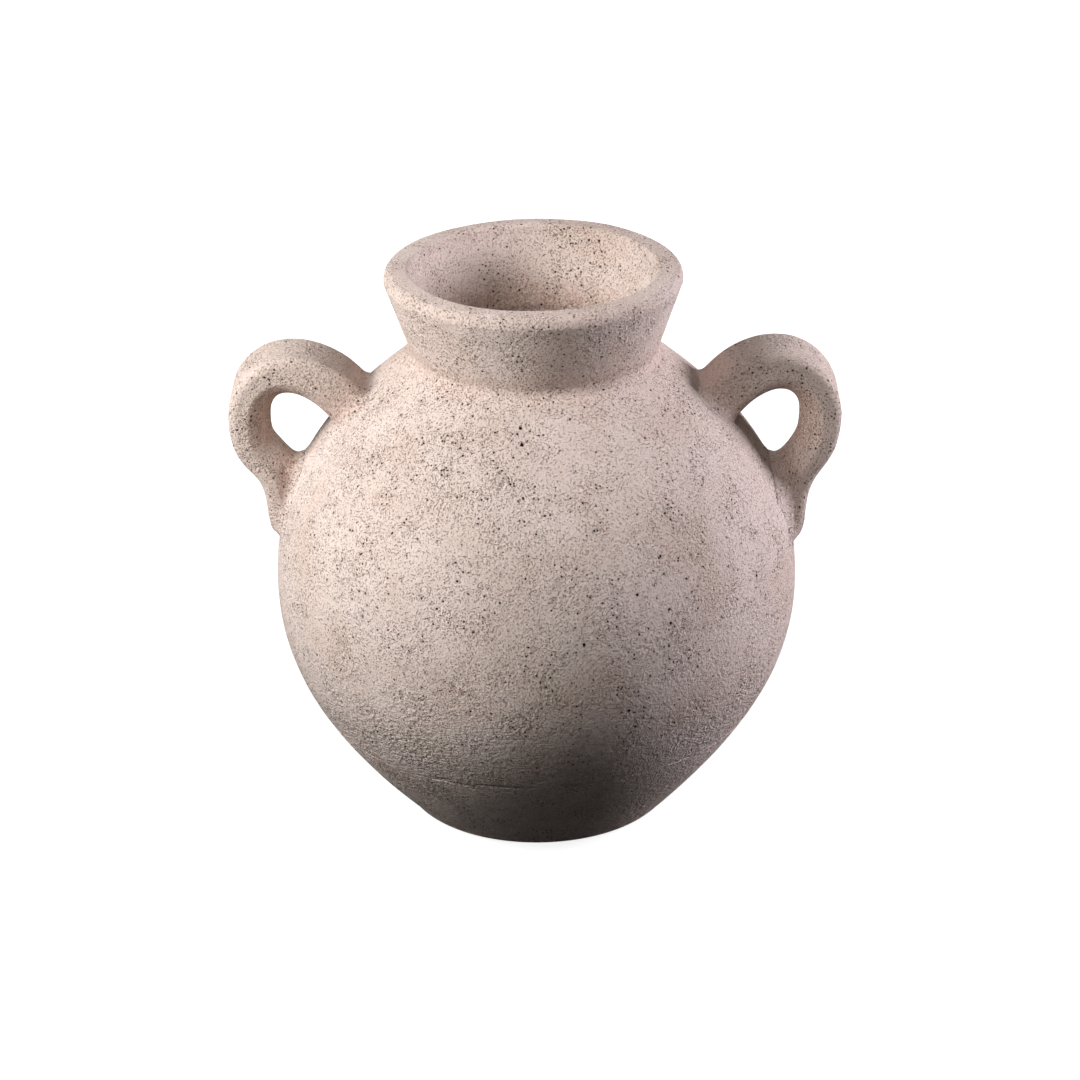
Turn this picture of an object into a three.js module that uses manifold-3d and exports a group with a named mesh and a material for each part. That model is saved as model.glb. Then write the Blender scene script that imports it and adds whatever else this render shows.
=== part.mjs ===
// Two-handled terracotta vase: floor slab, lower bowl, belly wall, neck collar and two strap handles,
// each formed by itself and luted to its neighbours. Millimetres, +Z up, the handles lie along X.
// The origin is the centre of the foot, on the ground.
import * as THREE from 'three';
import { mergeVertices } from 'three/addons/utils/BufferGeometryUtils.js';
import Module from 'manifold-3d';

// Body outside: one curve from the foot up to the widest ring, one from there to the neck
const BELLY_R = 150; // widest ring, radius
const BELLY_Z = 139.5; // widest ring, height
const FOOT_R = 74.5; // foot, radius before its edge is rounded
const FOOT_CLIMB = 46.3; // wall's angle to the ground at the foot, degrees
const FOOT_PULL = 85; // how far the wall keeps that angle
const LOWER_PULL = 41.4; // fullness under the widest ring
const UPPER_PULL = 74.9; // fullness over the widest ring
const SHOULDER_PULL = 44.4; // how far the shoulder keeps its slope
const SHOULDER_FALL = 39.6; // shoulder's slope at the neck, degrees
const NECK_ROOT_R = 69.1; // where neck and shoulder meet, radius
const NECK_ROOT_Z = 277.8; // where neck and shoulder meet, height
const FOOT_EDGE = 4; // rounding of the foot's edge
const WALL = 11; // wall of the body

// Joints between the pieces of clay
const SLIP = 0.3; // gap that the clay slip fills
const FOOT_RING_W = 18; // foot ring, from the foot's corner to the floor slab
const LEDGE_W = 8; // ledge that carries the floor slab
const LEDGE_Z = 6; // ledge, height over the ground
const FLOOR_T = 14; // floor slab, height of its upper face
const FLOOR_HOLLOW = 1.5; // how far the slab's underside clears the ground
const SEAM_Z = 63.9; // turning line where the lower bowl and the belly wall meet
const LAP = 9; // height of the stepped lap behind that line
const SPIGOT_WALL = 7; // collar's spigot in the shoulder, wall
const SPIGOT_L = 9; // collar's spigot in the shoulder, length

// Neck collar
const RIM_R = 84.2; // outside radius at the rim
const RIM_Z = 327.7; // top of the rim
const RIM_EDGE = 6.8; // rounding of the rim's outer edge
const LIP_W = 15; // width of the lip seen from above
const LIP_DROP = 6; // how far the lip's inner edge rolls down
const NECK_WALL = 14; // wall at the foot of the neck
const NECK_FILLET = 4.5; // reach of the soft fillet at the foot of the neck

// Strap handles: the centreline springs from the shoulder, arches out and down, and ends as a pressed tail
const STRAP_W = 38.3; // strap, width
const STRAP_ROOT_T = 23.5; // strap, thickness at the shoulder
const STRAP_TAIL_T = 12.9; // strap, thickness at the tail
const STRAP_CROWN = 5.4; // how far the middle of the strap's inner face swells
const EDGE_THIN = 4.5; // how far the strap's sides thin on the way to its outermost point
const THIN_FROM = 0.15; // share of the strap's length where its sides start to thin
const THIN_TO = 0.5; // share of the strap's length where they are at their thinnest
const STRAP_EDGE = 5; // rounding of the strap's edges
const EDGE_SHARE = 0.45; // most of the strap's thickness that one rounded edge may take
const ROOT_DROP = 29.3; // root's centre, below the foot of the neck
const ROOT_SINK = 3; // root's centre, inside the shoulder's skin
const ROOT_LEAD = 9; // straight end inside the shoulder, cut off by the saddle
const ROOT_SPRING = 53.2; // angle at which the strap leaves the shoulder, degrees
const ROOT_PULL = 48.3; // how far the strap keeps that angle
const ROOT_FLARE = 4; // spread of the root against the shoulder, each way
const FLARE_L = 12; // length over which the root spreads
const LOOP_REACH = 14.9; // outermost point of the centreline, beyond the belly
const LEFT_LOOP_DROP = 5.2; // outermost point of the left centreline, below the root's centre
const RIGHT_LOOP_DROP = 6.3; // outermost point of the right centreline, below the root's centre
const LOOP_TOP_PULL = 29.6; // roundness over the outermost point
const LOOP_LOW_PULL = 35.7; // roundness under it
const TAIL_LEAN = 3.8; // lean of the tail towards the wall, degrees
const TAIL_PULL = 54.6; // how far the tail keeps that lean
const CROTCH_FILL = 7; // clay smoothed into the crotch between arm and wall
const FILL_FROM = 0.4; // share of the strap's length where that clay starts
const FILL_TO = 0.6; // share of the strap's length where it is full
const TAIL_END_L = 8; // length of the tail's thumbed end
const TAIL_END_T = 0.55; // share of thickness left at the thumbed end
const TAIL_END_W = 0.8; // share of width left at the thumbed end
const LEFT_TAIL_RISE = 32.3; // left tail's end, over the widest ring
const RIGHT_TAIL_RISE = 26.4; // right tail's end, over the widest ring

// Fineness of the facets
const TURNS = 64; // steps round the axis
const BEND_STEPS = 3; // steps in a small rounding
const LOWER_STEPS = 5; // steps up the lower bowl
const UPPER_STEPS = 14; // steps up the belly wall
const LAP_STEPS = 2; // steps up the lap
const ARM_STEPS = 14; // steps along each half of a handle
const CORNER_STEPS = 3; // steps round a strap's edge
const CROWN_STEPS = 4; // steps across a strap's inner face
const SKIN_SAMPLES = 200; // points on the skin when a gap to it is measured

const CLAY_COLOR = 0xd8c6ba;
const CLAY_ROUGHNESS = 0.95;

const wasm = await Module();
wasm.setup();

const rad = THREE.MathUtils.degToRad;
const v2 = (r, z) => new THREE.Vector2(r, z);
const heading = (degrees) => v2(Math.cos(rad(degrees)), Math.sin(rad(degrees)));
const along = (from, direction, length) => from.clone().addScaledVector(direction, length);
const bend = (from, corner, to) => new THREE.QuadraticBezierCurve(from, corner, to).getPoints(BEND_STEPS);

// The body's outside as one curve, and points at a depth inside its skin
const foot = v2(FOOT_R, 0);
const belly = v2(BELLY_R, BELLY_Z);
const neckRoot = v2(NECK_ROOT_R, NECK_ROOT_Z);
const skin = new THREE.CurvePath();
skin.add(new THREE.CubicBezierCurve(
  foot, along(foot, heading(FOOT_CLIMB), FOOT_PULL), v2(BELLY_R, BELLY_Z - LOWER_PULL), belly));
skin.add(new THREE.CubicBezierCurve(
  belly, v2(BELLY_R, BELLY_Z + UPPER_PULL),
  along(neckRoot, heading(-SHOULDER_FALL), SHOULDER_PULL), neckRoot));
const skinLength = skin.getLength();

function skinPoint(t, depth) {
  const tangent = skin.getTangent(t);
  return along(skin.getPoint(t), v2(-tangent.y, tangent.x), depth);
}

// Where the skin, at a depth inside it, reaches a height
function skinAt(height, depth = 0) {
  let low = 0;
  let high = 1;
  while (high - low > 1e-6) {
    const middle = (low + high) / 2;
    if (skinPoint(middle, depth).y < height) low = middle;
    else high = middle;
  }
  return (low + high) / 2;
}

function skinRun(from, to, depth, steps) {
  return Array.from({ length: steps + 1 }, (_, i) => skinPoint(from + (to - from) * i / steps, depth));
}

// Sizes that two pieces share
const slabR = FOOT_R - FOOT_RING_W;
const seatPlace = 1 - NECK_FILLET / skinLength;
const seat = skin.getPoint(seatPlace);
const throatR = NECK_ROOT_R - NECK_WALL;
const shoulderHoleR = throatR + SPIGOT_WALL + SLIP;
const tongueDepth = (WALL + SLIP) / 2;
const lipDepth = (WALL - SLIP) / 2;

function turned(profile) {
  return new THREE.LatheGeometry(profile, TURNS).rotateX(Math.PI / 2);
}

function closed(profile) {
  return [...profile, profile[0]];
}

// Floor slab with a stepped edge that drops onto the ledge of the lower bowl
function floorSlab() {
  return turned([
    v2(0, FLOOR_HOLLOW),
    v2(slabR, FLOOR_HOLLOW),
    v2(slabR, LEDGE_Z + SLIP),
    v2(slabR + LEDGE_W, LEDGE_Z + SLIP),
    v2(slabR + LEDGE_W, FLOOR_T),
    v2(0, FLOOR_T),
  ]);
}

// Lower bowl: foot ring, ledge for the slab, and an inner tongue over the turning line
function lowerBowl() {
  const edgeEnd = FOOT_EDGE / skinLength;
  const ledgeR = slabR + LEDGE_W + SLIP;
  const seam = skinAt(SEAM_Z);
  const tongueTop = skinAt(SEAM_Z + LAP);
  return turned(closed([
    v2(slabR + SLIP, 0),
    ...bend(v2(FOOT_R - FOOT_EDGE, 0), foot, skinPoint(edgeEnd, 0)),
    ...skinRun(edgeEnd, seam, 0, LOWER_STEPS).slice(1),
    ...skinRun(seam, tongueTop, tongueDepth, LAP_STEPS),
    ...skinRun(tongueTop, skinAt(FLOOR_T, WALL), WALL, LOWER_STEPS),
    v2(ledgeR, FLOOR_T),
    v2(ledgeR, LEDGE_Z),
    v2(slabR + SLIP, LEDGE_Z),
  ]));
}

// Belly wall: an outer lip over the tongue below, and a flat seat with a hole for the collar above
function bellyWall() {
  const lipEnd = skinAt(SEAM_Z + SLIP);
  const lipRoot = skinAt(SEAM_Z + LAP + SLIP);
  const inside = skinRun(1, lipRoot, WALL, UPPER_STEPS).filter((point) => point.x > shoulderHoleR);
  return turned(closed([
    ...skinRun(lipEnd, seatPlace, 0, UPPER_STEPS),
    v2(shoulderHoleR, seat.y),
    v2(shoulderHoleR, inside[0].y),
    ...inside,
    ...skinRun(lipRoot, lipEnd, lipDepth, LAP_STEPS),
  ]));
}

// Neck collar: spigot, flange with its fillet, flared wall, rolled lip and funnel
function neckCollar() {
  const seatZ = seat.y + SLIP;
  const spigotR = shoulderHoleR - SLIP;
  const spigotEnd = seat.y - SPIGOT_L;
  const rimOut = v2(RIM_R, RIM_Z - RIM_EDGE);
  const wallUp = rimOut.clone().sub(neckRoot).normalize();
  const lipIn = v2(RIM_R - LIP_W, RIM_Z - LIP_DROP);
  return turned(closed([
    v2(spigotR, spigotEnd),
    v2(spigotR, seatZ),
    ...bend(v2(seat.x, seatZ), neckRoot, along(neckRoot, wallUp, NECK_FILLET)),
    ...bend(rimOut, v2(RIM_R, RIM_Z), v2(RIM_R - RIM_EDGE, RIM_Z)),
    ...bend(v2(RIM_R - LIP_W + LIP_DROP / 2, RIM_Z), v2(RIM_R - LIP_W, RIM_Z), lipIn),
    ...bend(along(lipIn, wallUp, -LIP_DROP), v2(throatR, NECK_ROOT_Z + NECK_FILLET), v2(throatR, seat.y)),
    v2(throatR, spigotEnd),
  ]));
}

// Centreline of a strap handle in the plane of its loop, from the shoulder to the tail's end
function strapLine(loopDrop, tailRise) {
  const root = skinPoint(skinAt(NECK_ROOT_Z - ROOT_DROP), ROOT_SINK);
  const spring = heading(ROOT_SPRING);
  const outermost = v2(BELLY_R + LOOP_REACH, root.y - loopDrop);
  const tailEnd = skin.getPoint(skinAt(BELLY_Z + tailRise));
  const arch = new THREE.CubicBezierCurve(
    root, along(root, spring, ROOT_PULL), along(outermost, v2(0, 1), LOOP_TOP_PULL), outermost);
  const arm = new THREE.CubicBezierCurve(
    outermost, along(outermost, v2(0, -1), LOOP_LOW_PULL),
    along(tailEnd, heading(90 + TAIL_LEAN), TAIL_PULL), tailEnd);
  return [
    along(root, spring, -ROOT_LEAD),
    ...arch.getPoints(ARM_STEPS),
    ...arm.getPoints(ARM_STEPS).slice(1),
  ];
}

// Strap section, across the width first and then across the thickness: rounded edges, crowned inner face
function strapSection(width, thickness, thin, fill) {
  const edge = Math.min(STRAP_EDGE, EDGE_SHARE * thickness);
  const flat = width / 2 - edge;
  const upright = thickness / 2 - edge;
  const points = [];
  for (let corner = 0; corner < 4; corner += 1) {
    const sideX = corner === 0 || corner === 3 ? 1 : -1;
    const sideY = corner < 2 ? 1 : -1;
    for (let i = 0; i <= CORNER_STEPS; i += 1) {
      const turn = (corner + i / CORNER_STEPS) * Math.PI / 2;
      points.push(v2(sideX * flat + edge * Math.cos(turn), sideY * upright + edge * Math.sin(turn)));
    }
    if (corner === 2) {
      for (let i = 1; i < CROWN_STEPS; i += 1) {
        points.push(v2(flat * (2 * i / CROWN_STEPS - 1), -thickness / 2));
      }
    }
  }
  points.filter((point) => point.y < 0).forEach((point) => {
    const inward = -2 * point.y / thickness;
    const aside = (2 * point.x / width) ** 2;
    point.y -= inward * (fill + STRAP_CROWN * (1 - aside) - thin * aside);
  });
  return points;
}

// Gap between a point in the plane of the loop and the body's skin, none inside the skin
const skinSamples = skin.getSpacedPoints(SKIN_SAMPLES);
function skinGap(point) {
  if (point.x < skin.getPoint(skinAt(point.y)).x) return 0;
  return Math.min(...skinSamples.map((sample) => sample.distanceTo(point)));
}

// Clay that closes the crotch: full where the arm nears the wall, fading where the gap is wide
function crotchFill(gap, share) {
  const fill = gap > CROTCH_FILL ? gap - Math.sqrt(gap ** 2 - CROTCH_FILL ** 2) : CROTCH_FILL;
  return fill * THREE.MathUtils.smoothstep(share, FILL_FROM, FILL_TO);
}

// Strap swept along its centreline: it spreads at the root, thins along the arm and ends thumbed
function sweptStrap(loopDrop, tailRise) {
  const line = strapLine(loopDrop, tailRise);
  const distance = [0];
  for (let i = 1; i < line.length; i += 1) distance.push(distance[i - 1] + line[i].distanceTo(line[i - 1]));
  const total = distance[line.length - 1];
  const positions = [];
  const faces = [];
  let ring = 0;
  line.forEach((centre, i) => {
    const before = line[Math.max(i - 1, 0)];
    const after = line[Math.min(i + 1, line.length - 1)];
    const forward = after.clone().sub(before).normalize();
    const outward = v2(-forward.y, forward.x);
    const spread = ROOT_FLARE * Math.max(0, 1 - (distance[i] - ROOT_LEAD) / FLARE_L) ** 2;
    const fromEnd = Math.min((total - distance[i]) / TAIL_END_L, 1);
    const thumb = Math.sqrt(1 - (1 - fromEnd) ** 2);
    const share = distance[i] / total;
    const taper = STRAP_ROOT_T + (STRAP_TAIL_T - STRAP_ROOT_T) * share;
    const thickness = (taper + 2 * spread) * (TAIL_END_T + (1 - TAIL_END_T) * thumb);
    const width = (STRAP_W + 2 * spread) * (TAIL_END_W + (1 - TAIL_END_W) * thumb);
    const innerFace = along(centre, outward, -thickness / 2 - STRAP_CROWN);
    const thin = EDGE_THIN * THREE.MathUtils.smoothstep(share, THIN_FROM, THIN_TO);
    const section = strapSection(width, thickness, thin, crotchFill(skinGap(innerFace), share));
    ring = section.length;
    section.forEach((point) => {
      const place = along(centre, outward, point.y);
      positions.push(place.x, point.x, place.y);
    });
  });
  const last = line.length - 1;
  for (let i = 0; i < last; i += 1) {
    for (let k = 0; k < ring; k += 1) {
      const a = i * ring + k;
      const b = i * ring + (k + 1) % ring;
      faces.push(a, b, b + ring, a, b + ring, a + ring);
    }
  }
  for (let k = 1; k < ring - 1; k += 1) {
    faces.push(0, k + 1, k);
    faces.push(last * ring, last * ring + k, last * ring + k + 1);
  }
  const geometry = new THREE.BufferGeometry();
  geometry.setAttribute('position', new THREE.Float32BufferAttribute(positions, 3));
  geometry.setIndex(faces);
  return geometry;
}

// Conversions for the one boolean cut, a handle's saddle
function toSolid(geometry) {
  const bare = geometry.clone();
  bare.deleteAttribute('normal');
  bare.deleteAttribute('uv');
  const merged = mergeVertices(bare, 1e-3);
  return new wasm.Manifold(new wasm.Mesh({
    numProp: 3,
    vertProperties: new Float32Array(merged.attributes.position.array),
    triVerts: new Uint32Array(merged.index.array),
  }));
}

function toGeometry(solid) {
  const mesh = solid.getMesh();
  const geometry = new THREE.BufferGeometry();
  geometry.setAttribute('position', new THREE.BufferAttribute(mesh.vertProperties, 3));
  geometry.setIndex(new THREE.BufferAttribute(mesh.triVerts, 1));
  geometry.computeVertexNormals();
  return geometry;
}

// Solid core of the belly wall, one slip gap larger, that cuts the saddles
function saddleCutter() {
  const run = skinRun(skinAt(SEAM_Z + SLIP), seatPlace, -SLIP, UPPER_STEPS);
  return toSolid(turned([v2(0, run[0].y), ...run, v2(0, run[UPPER_STEPS].y)]));
}

const cutter = saddleCutter();

function strapHandle(loopDrop, tailRise) {
  return toGeometry(toSolid(sweptStrap(loopDrop, tailRise)).subtract(cutter));
}

function piece(name, geometry) {
  const clay = new THREE.MeshStandardMaterial({ color: CLAY_COLOR, roughness: CLAY_ROUGHNESS, metalness: 0 });
  const mesh = new THREE.Mesh(geometry, clay);
  mesh.name = name;
  return mesh;
}

const vase = new THREE.Group();
vase.add(piece('floor_slab', floorSlab()));
vase.add(piece('lower_bowl', lowerBowl()));
vase.add(piece('belly_wall', bellyWall()));
vase.add(piece('neck_collar', neckCollar()));
vase.add(piece('right_handle', strapHandle(RIGHT_LOOP_DROP, RIGHT_TAIL_RISE)));
const leftHandle = piece('left_handle', strapHandle(LEFT_LOOP_DROP, LEFT_TAIL_RISE));
leftHandle.rotation.z = Math.PI;
vase.add(leftHandle);

export default vase;
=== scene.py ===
"""Two-handled terracotta vase, dressed around its solids: a thrown body in four pieces and two strap handles.

Sizes are in millimetres until a mesh is made. +Z is up, the handles lie along X, the front faces -Y.
"""

import math

import bpy
import numpy as np
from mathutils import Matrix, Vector, noise
from mathutils.bvhtree import BVHTree


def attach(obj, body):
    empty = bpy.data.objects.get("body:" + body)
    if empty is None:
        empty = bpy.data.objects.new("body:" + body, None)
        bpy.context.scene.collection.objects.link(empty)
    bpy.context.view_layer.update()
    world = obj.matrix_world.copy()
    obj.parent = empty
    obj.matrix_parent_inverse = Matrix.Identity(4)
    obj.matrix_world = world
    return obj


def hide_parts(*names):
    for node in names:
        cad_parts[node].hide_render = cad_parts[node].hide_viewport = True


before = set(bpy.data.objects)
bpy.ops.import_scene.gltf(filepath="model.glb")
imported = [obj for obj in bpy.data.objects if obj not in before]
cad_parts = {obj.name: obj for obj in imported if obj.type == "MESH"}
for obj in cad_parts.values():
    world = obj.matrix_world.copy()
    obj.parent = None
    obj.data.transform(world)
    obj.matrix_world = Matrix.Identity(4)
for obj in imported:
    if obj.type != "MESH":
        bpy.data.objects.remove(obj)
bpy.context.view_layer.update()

MM = 0.001

# Body outside, as in the solids
BELLY_R = 150.0
BELLY_Z = 139.5
FOOT_R = 74.5
FOOT_CLIMB = 46.3
FOOT_PULL = 85.0
LOWER_PULL = 41.4
UPPER_PULL = 74.9
SHOULDER_PULL = 44.4
SHOULDER_FALL = 39.6
NECK_ROOT_R = 69.1
NECK_ROOT_Z = 277.8
FOOT_EDGE = 4.0
WALL = 11.0

# Joints between the pieces of clay
SLIP = 0.3
FOOT_RING_W = 18.0
LEDGE_W = 8.0
LEDGE_Z = 6.0
FLOOR_T = 14.0
FLOOR_HOLLOW = 1.5
SEAM_Z = 63.9
LAP = 9.0
SPIGOT_WALL = 7.0
SPIGOT_L = 9.0

# Neck collar
RIM_R = 84.2
RIM_Z = 327.7
RIM_EDGE = 6.8
LIP_W = 15.0
LIP_DROP = 6.0
NECK_WALL = 14.0
NECK_FILLET = 4.5

# Strap handles
STRAP_W = 38.3
STRAP_ROOT_T = 23.5
STRAP_TAIL_T = 12.9
STRAP_CROWN = 5.4
EDGE_THIN = 4.5
EDGE_THIN_ALONG = (0.15, 0.5)
STRAP_EDGE = 5.0
STRAP_EDGE_SHARE = 0.45
ROOT_DROP = 29.3
ROOT_SINK = 3.0
ROOT_LEAD = 9.0
ROOT_SPRING = 53.2
ROOT_PULL = 48.3
LOOP_REACH = 14.9
LEFT_LOOP_DROP = 5.2
RIGHT_LOOP_DROP = 6.3
LOOP_TOP_PULL = 29.6
LOOP_LOW_PULL = 35.7
TAIL_LEAN = 3.8
TAIL_PULL = 54.6
TAIL_END_L = 8.0
TAIL_END_T = 0.55
TAIL_END_W = 0.8
TAIL_TIP_L = 3.0
TAIL_TIP_LEFT = 0.003
TAIL_TIP_SINK = 1.8
TAIL_SINK_SHARE = 0.08
LEFT_TAIL_RISE = 32.3
RIGHT_TAIL_RISE = 26.4

# Reach of the smoothed clay where a handle meets the wall: over, beside and under the strap
ROOT_REACH = (5.0, 11.0, 4.0)
TAIL_REACH = (5.0, 8.0, 17.0)
REACH_SQUARENESS = 4
ON_WALL = 2.0

# How squarely strap and wall face each other where they begin to share a fillet, and where each takes half
CROTCH_FACING = (0.4, 0.9)
LEAST_OPPOSED = 1e-4

# The wall near the handles, where a crotch may be
CROTCH_NEAR_X = 90.0
CROTCH_Z = (160.0, 285.0)

# How much bare-clay colour is painted on the inner faces of the handles and in the throat: painted shade
# where the loops and the neck shade them
INNER_FACE_PAINTED_SHADE = 0.75
INNER_FACING = (0.1, 0.6)
INNER_LIFT = (2.0, 8.0)
THROAT_PAINTED_SHADE = 0.8
THROAT_Z = (284.0, 306.0)
INSIDE_MARGIN = 1.0

# How far it is rubbed off round the handles' ends, by the lift over the wall, and at the neck and the foot
HANDLE_END_WORN = 0.15
HANDLE_ROOT_WORN = 0.45
HANDLE_ROOT_SHARE = (0.2, 0.4)
HANDLE_WORN_FROM = (0.5, 5.0)
HANDLE_WORN_TO = (8.0, 30.0)
NECK_FOOT_WORN = 0.5
NECK_FOOT_LIFT = 5.0
NECK_FOOT_BAND = 6.0
RIM_WORN = 0.12
RIM_WORN_DROP = 2.0
RIM_WORN_BAND = 4.0
FOOT_WORN = 0.8
FOOT_SIDE_WORN = 0.5
FOOT_SIDE_BAND = 7.0
UNDER_WORN = 0.5

# Lift over the wall at which a strap has its own waves, and its own tone of wash
STRAP_BED = 8.0
STRAP_TONE = 10.0

# Fineness of the meshes
TURNS = 400
HUB_R = 0.6
ROW = 2.0
JOINT_ROW = 6.0
BOWL_ROW = 1.3
FINE_ROW = 1.0
LIP_ROW = 0.7
NECK_FILLET_ROW = 0.6
TURNING_ROW = 0.5
TURNING_BAND = 6.0
LIP_POINTS = 40
STRAP_ROWS = 230
STRAP_STEP = 0.85
STRAP_LINE_STEP = 0.6
STRAP_CORNER_POINTS = 10
SADDLE_RINGS = 8
END_CROWDING = 0.7
FILLET_TRIES = 12
SHARP_ANGLE = 60
SAME_PLACE = 1e-3
BATCH = 4000


# Curves
def heading(degrees):
    return np.array([math.cos(math.radians(degrees)), math.sin(math.radians(degrees))])


def cubic(a, b, c, d, count=300):
    t = np.linspace(0, 1, count)[:, None]
    return (1 - t) ** 3 * a + 3 * (1 - t) ** 2 * t * b + 3 * (1 - t) * t**2 * c + t**3 * d


def bend(a, corner, b, count=12):
    t = np.linspace(0, 1, count)[:, None]
    a, corner, b = np.array(a), np.array(corner), np.array(b)
    return (1 - t) ** 2 * a + 2 * (1 - t) * t * corner + t**2 * b


def lengths(points):
    steps = np.linalg.norm(np.diff(points, axis=0), axis=-1)
    return np.concatenate([[0], np.cumsum(steps)])


def even(points, step):
    points = np.array(points, float)
    run = lengths(points)
    count = max(2, int(math.ceil(run[-1] / step)) + 1)
    places = np.linspace(0, run[-1], count)
    return np.stack([np.interp(places, run, points[:, axis]) for axis in range(points.shape[1])], 1)


def smoothstep(value, low, high):
    t = np.clip((value - low) / (high - low), 0, 1)
    return t * t * (3 - 2 * t)


def band(value, middle, spread):
    return np.exp(-(((value - middle) / spread) ** 2))


# The body's outside as one curve, and points at a depth inside its skin
foot = np.array([FOOT_R, 0.0])
belly = np.array([BELLY_R, BELLY_Z])
neck_root = np.array([NECK_ROOT_R, NECK_ROOT_Z])
skin = np.vstack([
    cubic(foot, foot + FOOT_PULL * heading(FOOT_CLIMB), belly - [0, LOWER_PULL], belly),
    cubic(belly, belly + [0, UPPER_PULL], neck_root + SHOULDER_PULL * heading(-SHOULDER_FALL), neck_root)[1:],
])
skin_run = lengths(skin)
skin_tangent = np.gradient(skin, skin_run, axis=0)
skin_tangent /= np.linalg.norm(skin_tangent, axis=1)[:, None]
skin_out = np.stack([skin_tangent[:, 1], -skin_tangent[:, 0]], 1)


def skin_points(places, depth=0.0):
    deep = skin - depth * skin_out
    return np.stack([np.interp(places, skin_run, deep[:, axis]) for axis in range(2)], -1)


def skin_at(height, depth=0.0):
    return float(np.interp(height, (skin - depth * skin_out)[:, 1], skin_run))


def along_skin(start, end, depth, step):
    count = max(2, int(math.ceil(abs(end - start) / step)) + 1)
    return skin_points(np.linspace(start, end, count), depth)


def skin_gap(points):
    """Signed distance from points to the body's skin, and the skin's normal there: plus is outside."""
    radius = np.hypot(points[:, 0], points[:, 1])
    gap = np.empty(len(points))
    out = np.empty((len(points), 3))
    for start in range(0, len(points), BATCH):
        part = slice(start, start + BATCH)
        flat = np.stack([radius[part], points[part, 2]], 1)
        nearest = ((flat[:, None] - skin[None]) ** 2).sum(2).argmin(1)
        gap[part] = ((flat - skin[nearest]) * skin_out[nearest]).sum(1)
        level = skin_out[nearest, 0] / np.maximum(radius[part], SAME_PLACE)
        out[part] = np.stack([level * points[part, 0], level * points[part, 1], skin_out[nearest, 1]], 1)
    return gap, out


# Sizes that two pieces share
slab_r = FOOT_R - FOOT_RING_W
seat_place = skin_run[-1] - NECK_FILLET
seat = skin_points(seat_place)
throat_r = NECK_ROOT_R - NECK_WALL
hole_r = throat_r + SPIGOT_WALL + SLIP
tongue_depth = (WALL + SLIP) / 2
lip_depth = (WALL - SLIP) / 2


# Unevenness that a hand leaves in clay: wave length and height of each size of wave
HAND_WAVES = ((95.0, 0.55), (30.0, 0.2), (14.0, 0.07))
STRAP_WAVES = ((40.0, 0.5), (14.0, 0.2), (7.0, 0.08))
STRAP_WAVE_SHIFT = 300.0
UNDER_WAVES = ((14.0, 0.25),)
UNDER_CALM = 4.0
FOOT_CALM = 6.0

# Spiral of the fingers inside
THROWING_PITCH = 8.5
THROWING_HEIGHT = 0.45
SPIRAL_CALM = (2.0, 12.0)
SPIRAL_EDGE_CALM = 6.0
SPIRAL_SINK = 0.1

# Lines of the turning tool, by height and depth, with how they sway, fade and break on their way round
TURNING_LINES = ((60.0, 0.4), (62.2, 0.65), (SEAM_Z, 0.9), (66.6, 0.7), (69.8, 0.4))
TURNING_LINE_W = 0.7
TURNING_SWAY = 1.2
TURNING_SWAY_L = 60.0
TURNING_FADE_L = 48.0
TURNING_FADE = (-0.2, 0.3)
TURNING_STROKE_L = 11.0
TURNING_STROKE = (-0.35, 0.15)


def noise_at(points, size, shift=0.0):
    return np.array([noise.noise(Vector(point)) for point in points / size + shift])


def waves(points, sizes):
    return sum(height * noise_at(points, size) for size, height in sizes)


def throwing_rings(points):
    """Low spiral ridges that the fingers leave inside a thrown pot."""
    turn = np.arctan2(points[:, 1], points[:, 0])
    travel = np.hypot(points[:, 0], points[:, 1]) + points[:, 2]
    return THROWING_HEIGHT * np.sin(2 * math.pi * travel / THROWING_PITCH + turn)


def turning_lines(points):
    """Fine lines that the turning tool leaves low on the belly, stronger and weaker on their way round."""
    depth = np.zeros(len(points))
    for number, (height, deep) in enumerate(TURNING_LINES):
        level = height + TURNING_SWAY * noise_at(points, TURNING_SWAY_L, shift=5.0 + number)
        strength = smoothstep(noise_at(points, TURNING_FADE_L, shift=6.0 + number), *TURNING_FADE)
        stroke = smoothstep(noise_at(points, TURNING_STROKE_L, shift=2.0 + number), *TURNING_STROKE)
        depth += deep * strength * stroke * band(points[:, 2], level, TURNING_LINE_W)
    return depth


# Meshes
def make_piece(name, points, faces, marks):
    mesh = bpy.data.meshes.new(name)
    mesh.from_pydata((points * MM).tolist(), [], faces)
    mesh.polygons.foreach_set("use_smooth", [True] * len(mesh.polygons))
    mesh.set_sharp_from_angle(angle=math.radians(SHARP_ANGLE))
    for mark, values in marks.items():
        mesh.attributes.new(mark, "FLOAT", "POINT").data.foreach_set("value", values.astype(np.float32))
    mesh.validate()
    mesh.update()
    piece = bpy.data.objects.new(name, mesh)
    bpy.context.scene.collection.objects.link(piece)
    return piece


def turn_profile(runs):
    """Joins runs of a closed profile, and gives each point what its run is and the normal of that run."""
    points = []
    kinds = []
    for run, kind in runs:
        for point in np.array(run, float):
            if points and np.linalg.norm(point - points[-1]) < SAME_PLACE:
                continue
            points.append(point)
            kinds.append(kind)
    points = np.array(points)
    kinds = np.array(kinds)
    after = np.roll(points, -1, 0)
    before = np.roll(points, 1, 0)
    starts = (np.roll(kinds, 1) != kinds) & (np.roll(kinds, -1) == kinds)
    ends = (np.roll(kinds, -1) != kinds) & (np.roll(kinds, 1) == kinds)
    before[starts] = points[starts]
    after[ends] = points[ends]
    way = after - before
    way /= np.linalg.norm(way, axis=1)[:, None]
    return points, np.stack([way[:, 1], -way[:, 0]], 1), kinds


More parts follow.
